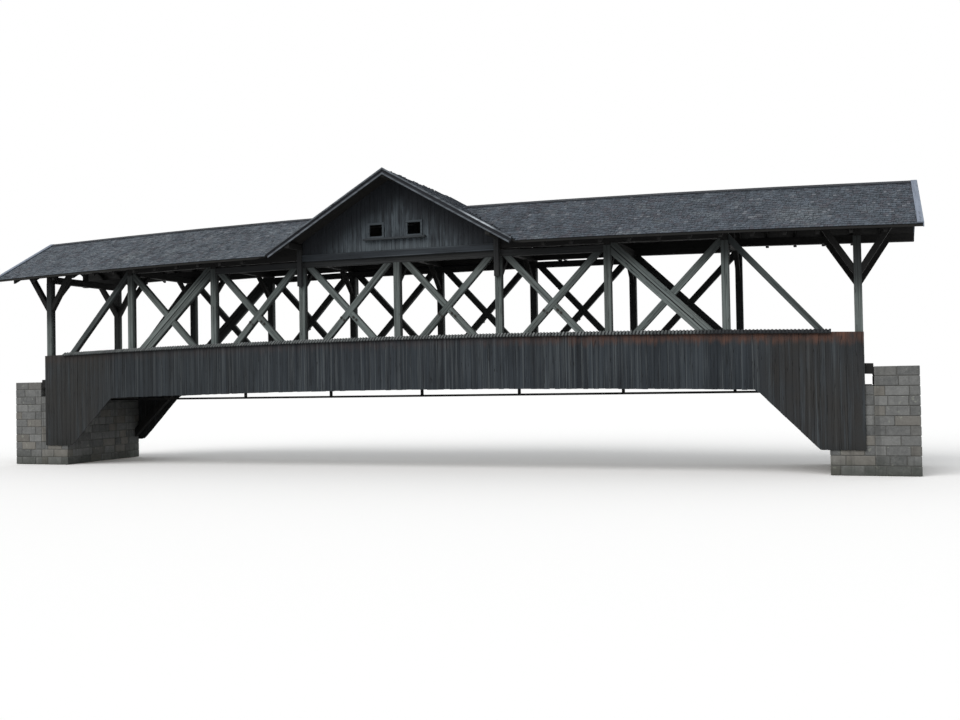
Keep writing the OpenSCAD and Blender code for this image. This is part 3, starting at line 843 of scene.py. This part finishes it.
cap_y = 2.08
cap_w = 0.18
cap_pitch = math.radians(30)
cap_reach = cap_w / math.cos(cap_pitch)
strip_w = 0.054
strip_step = 0.105
strip_drop = 0.018
uneven_strip = 0.012
first_strip, last_strip = 0.06, 0.04
low, high = box_of("parapet_caps")
stations = stations_of("parapet_caps")
under, over = heights("parapet_caps", stations, cap_y)
cap_t = (over[0] - under[0]) * math.cos(cap_pitch)
upper_paint = cap_finish("cap_upper", (0.070, 0.077, 0.074), (0.300, 0.314, 0.310))
# The lower strips are a dark copy of the cap boards: painted shade for the strips set lower.
shaded_lower_paint = cap_finish("cap_lower", (0.010, 0.011, 0.013), (0.048, 0.050, 0.052))
for name, layer, depth, paint, nodes in (
        ("cap_upper", 0, cap_t, upper_paint, ["parapet_caps"]),
        ("cap_lower", 1, cap_t - strip_drop, shaded_lower_paint, [])):
    strips = []
    x = low[0] + first_strip + layer * strip_step / 2
    while x < high[0] - last_strip:
        for side in (-1, 1):
            strip_l = cap_reach - dice.uniform(0, uneven_strip)
            strips.append(((x, side * cap_y, depth / 2 / math.cos(cap_pitch)),
                           (strip_w, strip_l, depth), (-side * cap_pitch, 0, 0)))
        x += strip_step
    cap = spread(name, block, strips, paint, 31 + layer, turn=(0.01, 0, 0.02),
                 shape=follow(stations, under))
    settle(cap, "cap_boards", *nodes)


# Roof frame. Rafters, purlins and posts under the boarding, sawn, dark and painted near black for
# the shade under the roof, and pale painted boards that close the two ends of the main roof.
for node in ("king_posts", "ridge_purlins", "rafters_front", "rafters_back", "verge_outriggers"):
    dress(node, shaded_timber, "dark_timber")


def verge_finish():
    wood = Wood("pale_verge")
    marks = wood.noise(wood.vector(wood.along * 6, wood.across * 20, wood.tint * 9), 2)
    colour = wood.mix(wood.tone, (0.145, 0.165, 0.205), (0.290, 0.325, 0.390))
    colour = wood.mix(marks.step(0.60, 0.68) * 0.8, colour, (0.06, 0.065, 0.07))
    return wood.weather(colour, 0.002)


dress("verge_boards", verge_finish(), "pale_trim", 0.004)


# Roof covering. Split shingles about 0.11 m wide, laid in courses 0.15 m apart on lengthwise
# boarding over the rafters. Grey violet with age, each a little different, with paler lichen.
def shingle_finish(name, along, across):
    wood = Wood(name, along, across)
    hue = (wood.tint * 17.3).maths("FRACT")
    fleck = wood.noise(wood.vector(wood.x * 15, wood.y * 9, wood.tint * 20), 3, 0.7)
    fleck = fleck.step(0.3, 0.7)
    broad = wood.noise(wood.place(0.35, 0.5, 0.5)).step(0.35, 0.65)
    lichen = wood.noise(wood.vector(wood.x * 1.1, wood.y * 1.3, 0), 4).step(0.54, 0.70)
    blotch = wood.noise(wood.vector(wood.x * 2.8, wood.y * 2.0, 5), 4, 0.7).step(0.38, 0.62)
    tone = wood.tint * 0.30 + fleck * 0.36 + blotch * 0.22 + broad * 0.12
    colour = wood.mix(tone, (0.010, 0.013, 0.018), (0.124, 0.146, 0.174))
    colour = wood.mix(hue.step(0.5, 1.0) * 0.5, colour, (0.068, 0.058, 0.068))
    left_half = wood.x.step(1.0, -5.0)
    near_eave = (wood.y + 2.1).size().step(0.8, 0.2)
    pale_spot = (wood.x - 12.6).size().step(1.1, 0.3) * near_eave
    pale_part = lichen.maths("MAXIMUM", pale_spot) * 0.50 + left_half * blotch * 0.42
    colour = wood.mix(pale_part * fleck, colour, (0.215, 0.235, 0.245))
    colour = wood.mix(hue.step(0.96, 0.98) * 0.6, colour, (0.190, 0.205, 0.225))
    return wood.weather(colour, 0.004)


def sheathing_finish():
    """Boarding under the shingles, in lengthwise boards 0.22 m wide with dark joints, painted near
    black for the shade under the eaves.
    """
    wood = Wood("sheathing", "x", "y")
    boards = wood.y * 4.5
    joint_line = (boards.maths("FRACT") - 0.5).size().step(0.46, 0.49)
    each = wood.add("ShaderNodeTexWhiteNoise", {"noise_dimensions": "1D"},
                    {"W": boards.maths("FLOOR")})
    tone = wood.tone * 0.7 + Value(wood, each.outputs["Value"]) * 0.3
    colour = wood.mix(tone, (0.004, 0.004, 0.004), (0.020, 0.019, 0.017))
    wood.crack = wood.crack.maths("MAXIMUM", joint_line)
    return wood.weather(colour)


shingle_l = 0.36
shingle_w = (0.075, 0.145)
shingle_gap = 0.006
gauge = 0.15
uneven_foot = 0.035
uneven_verge = 0.02
bed = 0.004
covering_t = 0.035
top_course = 0.17
top_lift = 0.010
beside = 0.09
eave_edge_h = 0.02
wedge_z = ((0, -0.012), (-0.026, -0.034))
shingle = six_sided([(x - 0.5, y, wedge_z[y][1 - z]) for x, y, z in eight_corners])


def sheathe(node, finish):
    """The boarding of one roof slope: the node with its upper side lowered by the covering."""
    bm = merged(node)
    for corner in {v for face in bm.faces if face.normal.z > 0.5 for v in face.verts}:
        corner.co.z -= covering_t
    settle(worked(bm, node + "_boarding", finish), "shingles", node)


def upper_normal(node):
    """The normal of the largest upper face of a roof slope."""
    upper = (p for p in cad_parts[node].data.polygons if p.normal.z > 0.5)
    return max(upper, key=lambda p: p.area).normal


def roof_tilt(node):
    return math.acos(upper_normal(node).z)


def courses(node, run, places):
    """Shingles in courses up one roof slope. Run is the axis up the slope: 1 for y, 0 for x."""
    solid = solid_of(node)
    low, high = box_of(node)
    tilt = roof_tilt(node)
    down = 1 if upper_normal(node)[run] > 0 else -1
    eave, ridge = (high[run], low[run]) if down > 0 else (low[run], high[run])
    heading = {(1, -1): 0, (1, 1): math.pi, (0, 1): math.pi / 2, (0, -1): -math.pi / 2}[run, down]
    slope_l = abs(eave - ridge) / math.cos(tilt)
    rises = [(k * gauge + bed, 0) for k in range(int(slope_l / gauge))]
    rises.append((slope_l - top_course, top_lift))
    for up, lift in rises:
        start = low[1 - run] + dice.uniform(0, uneven_verge)
        end = high[1 - run] - dice.uniform(0, uneven_verge)
        for a, b in row(start, end, *shingle_w):
            stray = 0 if lift or up <= gauge else dice.uniform(-uneven_foot, uneven_foot)
            back = down * (up + stray) * math.cos(tilt)
            hit = None
            for aside in (0, beside, -beside):
                at = [eave - back, eave - back, high_up]
                at[1 - run] = (a + b) / 2 + aside
                hit = hit or solid.ray_cast(at, (0, 0, -1))[0]
            if hit is None or hit.z < low[2] + eave_edge_h:
                continue
            foot = [hit.x, hit.y, hit.z - bed + lift * run]
            foot[1 - run] = (a + b) / 2
            length = min(shingle_l, slope_l - up - bed)
            places.append((tuple(foot), (b - a - shingle_gap, length, 1), (tilt, 0, heading)))


sheathing = sheathing_finish()
main_shingle = shingle_finish("main_shingle", "y", "x")
cross_shingle = shingle_finish("cross_shingle", "x", "y")
for name, run, paint, nodes in (
        ("shingles_front", 1, main_shingle, ("main_roof_front_left", "main_roof_front_right")),
        ("shingles_back", 1, main_shingle, ("main_roof_back_left", "main_roof_back_right")),
        ("shingles_cross", 0, cross_shingle, ("cross_roof_left", "cross_roof_right"))):
    laid = []
    for node in nodes:
        sheathe(node, sheathing)
        courses(node, run, laid)
    cover = spread(name, shingle, laid, paint, 41 + run, turn=(0.016, 0.022, 0.022))
    settle(cover, "shingles")

ridge_w, ridge_t = 0.17, 0.022
ridge_l = (3.2, 3.8)
ridge_joint = 0.006
ridge_lift = 0.016
ridge_overlap = 0.004
cross_ridge_end = 1.75
tilt = roof_tilt("main_roof_front_left")
boards = []
ridge_line = []
for side, half in ((-1, "left"), (1, "right")):
    node = "main_roof_front_" + half
    low, high = box_of(node)
    ends = (low[0] + 0.01, -cross_ridge_end) if side < 0 else (cross_ridge_end, high[0] - 0.01)
    xs = np.linspace(*ends, 60)
    ridge_line += list(zip(xs, heights(node, xs, -0.004)[1]))
    for a, b in row(*ends, *ridge_l):
        for slope in (-1, 1):
            boards.append((((a + b) / 2, slope * (ridge_w / 2 - ridge_overlap) * math.cos(tilt),
                            ridge_lift - ridge_w / 2 * math.sin(tilt)),
                           (b - a - ridge_joint, ridge_w, ridge_t), (-slope * tilt, 0, 0)))
ridge_line = np.array(ridge_line)
# The ridge boards are painted darker than the shingles: painted shade for the ridge seen against
# the sky.
ridge_paint = plain_wood("ridge_timber", (0.010, 0.011, 0.013), (0.070, 0.076, 0.086), "x", "y")
settle(spread("ridge_boards", block, boards, ridge_paint, 45, edge=0.004,
              shape=follow(ridge_line[:, 0], ridge_line[:, 1])), "shingles")


# Cross gable. Upright boards nailed to rails, with two small framed openings over a ledge, a base
# beam below and broad boards along the rakes. Dark under the eaves, partly painted shade of the
# overhang, and blue grey in the middle.
def gable_finish():
    wood = Wood("gable_board", "z", "x")
    # Darker near the rakes and paler below them: partly weathering, partly painted shade of the
    # roof overhang.
    weathered_and_unshaded = (wood.z + wood.x.size() * 0.58).step(9.15, 8.2)
    foot = (wood.z + wood.patch * 0.2).step(7.62, 7.35) * wood.x.size().step(2.2, 0.9)
    colour = wood.mix(wood.tone, (0.010, 0.012, 0.015), (0.030, 0.034, 0.040))
    bleached = wood.noise(wood.vector(wood.x * 5, wood.z * 0.8, wood.tint * 3)).step(0.35, 0.65)
    pale_part = weathered_and_unshaded * (wood.tone * 0.7 + bleached * 0.8 - 0.24)
    colour = wood.mix(pale_part, colour, (0.120, 0.143, 0.160))
    # Darker towards the sides: partly darker sheltered wood, partly painted shade of the overhang.
    edge_part = wood.x.size().step(1.6, 3.2)
    colour = wood.mix(edge_part * 0.7, colour, (0.016, 0.018, 0.022))
    colour = wood.mix(foot * (wood.fibre * 0.5 + 0.2), colour, (0.120, 0.138, 0.150))
    return wood.weather(colour, 0.004)


def base_finish():
    """Old planed timber, bleached along the edges of its faces."""
    wood = Wood("base_timber")
    colour = wood.mix(wood.tone, (0.011, 0.013, 0.016), (0.046, 0.054, 0.063))
    edge_part = wood.across.size().step(0.068, 0.088)
    colour = wood.mix(edge_part * (wood.streak * 0.7 + 0.1), colour, (0.082, 0.093, 0.102))
    return wood.weather(colour)


frame_w = 0.07
corners = np.array([v.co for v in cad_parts["window_frames"].data.vertices])
low, high = (pick(corners[corners[:, 0] > 0], axis=0) for pick in (np.min, np.max))
middle, opening = (low + high) / 2, high - low - 2 * frame_w
right_through = 8
windows = [((side * middle[0], 0, middle[2]), (opening[0], right_through, opening[2]), no_turn)
           for side in (-1, 1)]
gable_board = gable_finish()
for face, seed in (("front", 51), ("back", 52)):
    boarding("gable_boards_" + face, "gable_wall_" + face, gable_board, "gable_boards",
             (0.13, 0.18), seed, depth=0.5, holes=windows)
frame_timber = plain_wood("frame_timber", (0.035, 0.042, 0.048), (0.110, 0.128, 0.142))
ledge_timber = plain_wood("ledge_timber", (0.018, 0.021, 0.024), (0.060, 0.068, 0.074))
rake_timber = plain_wood("rake_timber", (0.010, 0.011, 0.014), (0.034, 0.037, 0.044))
dress("window_frames", frame_timber, "grey_trim", 0.004)
dress("gable_ledges", ledge_timber, "grey_trim", 0.004)
dress("gable_base_beams", base_finish(), "grey_trim", 0.006)
dress("gable_corner_posts", beam_timber, "grey_trim", 0.006)
rake_boards = dress("bargeboards", rake_timber, "grey_trim", 0.004)

low, high = box_of("bargeboards")
rake = roof_tilt("cross_roof_left")
strip_t = 0.014
for corner in rake_boards.data.vertices:
    if abs(corner.co.y) > high[1] - 0.02:
        corner.co.y -= math.copysign(strip_t, corner.co.y)
lowest = min(rake_boards.data.vertices, key=lambda v: v.co.z).co
rake_d = (high[2] - lowest.z - abs(lowest.x) * math.tan(rake)) * math.cos(rake)
strips = []
for side in (-1, 1):
    for face in (-1, 1):
        for below, width, reach in ((0.024, 0.046, high[0] - 0.03),
                                    (rake_d - 0.026, 0.050, abs(lowest.x) - 0.01)):
            strips.append(((side * reach / 2, face * (high[1] - strip_t / 2),
                            -below / math.cos(rake)),
                           (reach, strip_t, width / math.cos(rake)), no_turn))


def on_rake(corners):
    """Level strips sheared down both rakes from a plumb joint at the ridge."""
    corners[:, 2] += high[2] - abs(corners[:, 0]) * math.tan(rake)
    return corners


def strip_finish():
    """Pale strips, near white on one stretch of the front upper one on the right."""
    wood = Wood("rake_strip", "x", "z")
    colour = wood.mix(wood.tone, (0.042, 0.047, 0.054), (0.200, 0.220, 0.243))
    upper = (wood.z + wood.x.size() * math.tan(rake)).step(high[2] - 0.075, high[2] - 0.055)
    stretch = wood.x.step(2.5, 3.1) * wood.x.step(3.85, 3.5) * wood.y.step(1, -1)
    colour = wood.mix(upper * stretch * (wood.fibre * 0.3 + 0.7), colour, (0.62, 0.66, 0.70))
    return wood.weather(colour, 0.002)


settle(spread("rake_strips", block, strips, strip_finish(), 55, shape=on_rake), "grey_trim")
